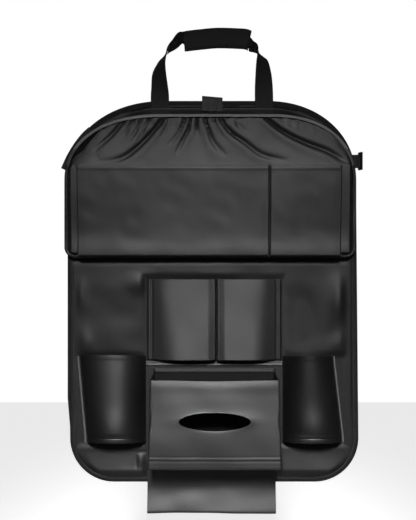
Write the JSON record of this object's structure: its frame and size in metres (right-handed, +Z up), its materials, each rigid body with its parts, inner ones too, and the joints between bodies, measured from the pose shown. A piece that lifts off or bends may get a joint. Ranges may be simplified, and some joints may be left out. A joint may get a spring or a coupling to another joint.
{
  "type": "car seat back organizer",
  "caption": "Stiffened panel that hangs behind a car seat by a strap handle, with an elastic-topped pocket, flat pockets, a tissue pocket with a flap and bottle pockets.",
  "frame": {"origin": "centre of the flat back face that lies against the car seat", "axes": "+Z up, the way it hangs; +Y out of the back face towards the seat; +X to the right as seen from the passenger behind"},
  "size_m": [0.4502, 0.0874, 0.725],
  "materials": {
    "leatherette": "soft satin with a fine grain",
    "lining_cloth": "matte non-woven cloth",
    "webbing": "ribbed woven webbing",
    "board": "plain stiffener",
    "grip_foam": "matte foam wrap",
    "ring_plastic": "moulded black plastic"
  },
  "bodies": {
    "root": {"back_lining": "lining_cloth", "panel_board": "board", "panel_front": "leatherette", "panel_binding": "leatherette", "handle_webbing": "webbing", "handle_grip": "grip_foam", "top_tab": "webbing", "upper_back_sheet": "leatherette", "upper_board": "board", "upper_front_sheet": "leatherette", "upper_binding": "leatherette", "upper_seam_strip": "leatherette", "gathered_pocket": "leatherette", "pocket_elastic": "webbing", "patch_pocket_wide": "leatherette", "patch_pocket_narrow": "leatherette", "phone_pocket": "leatherette", "phone_pocket_binding": "leatherette", "tissue_pocket_wall": "leatherette", "tissue_pocket_binding": "leatherette", "tissue_pocket_back": "leatherette", "tissue_flap": "leatherette", "left_bottle_pocket": "leatherette", "left_bottle_band": "leatherette", "left_bottle_base": "leatherette", "left_bottle_piping": "leatherette", "right_bottle_pocket": "leatherette", "right_bottle_band": "leatherette", "right_bottle_base": "leatherette", "right_bottle_piping": "leatherette", "left_side_strap": "webbing", "right_side_strap": "webbing", "right_strap_ring": "ring_plastic"}
  },
  "joints": []
}
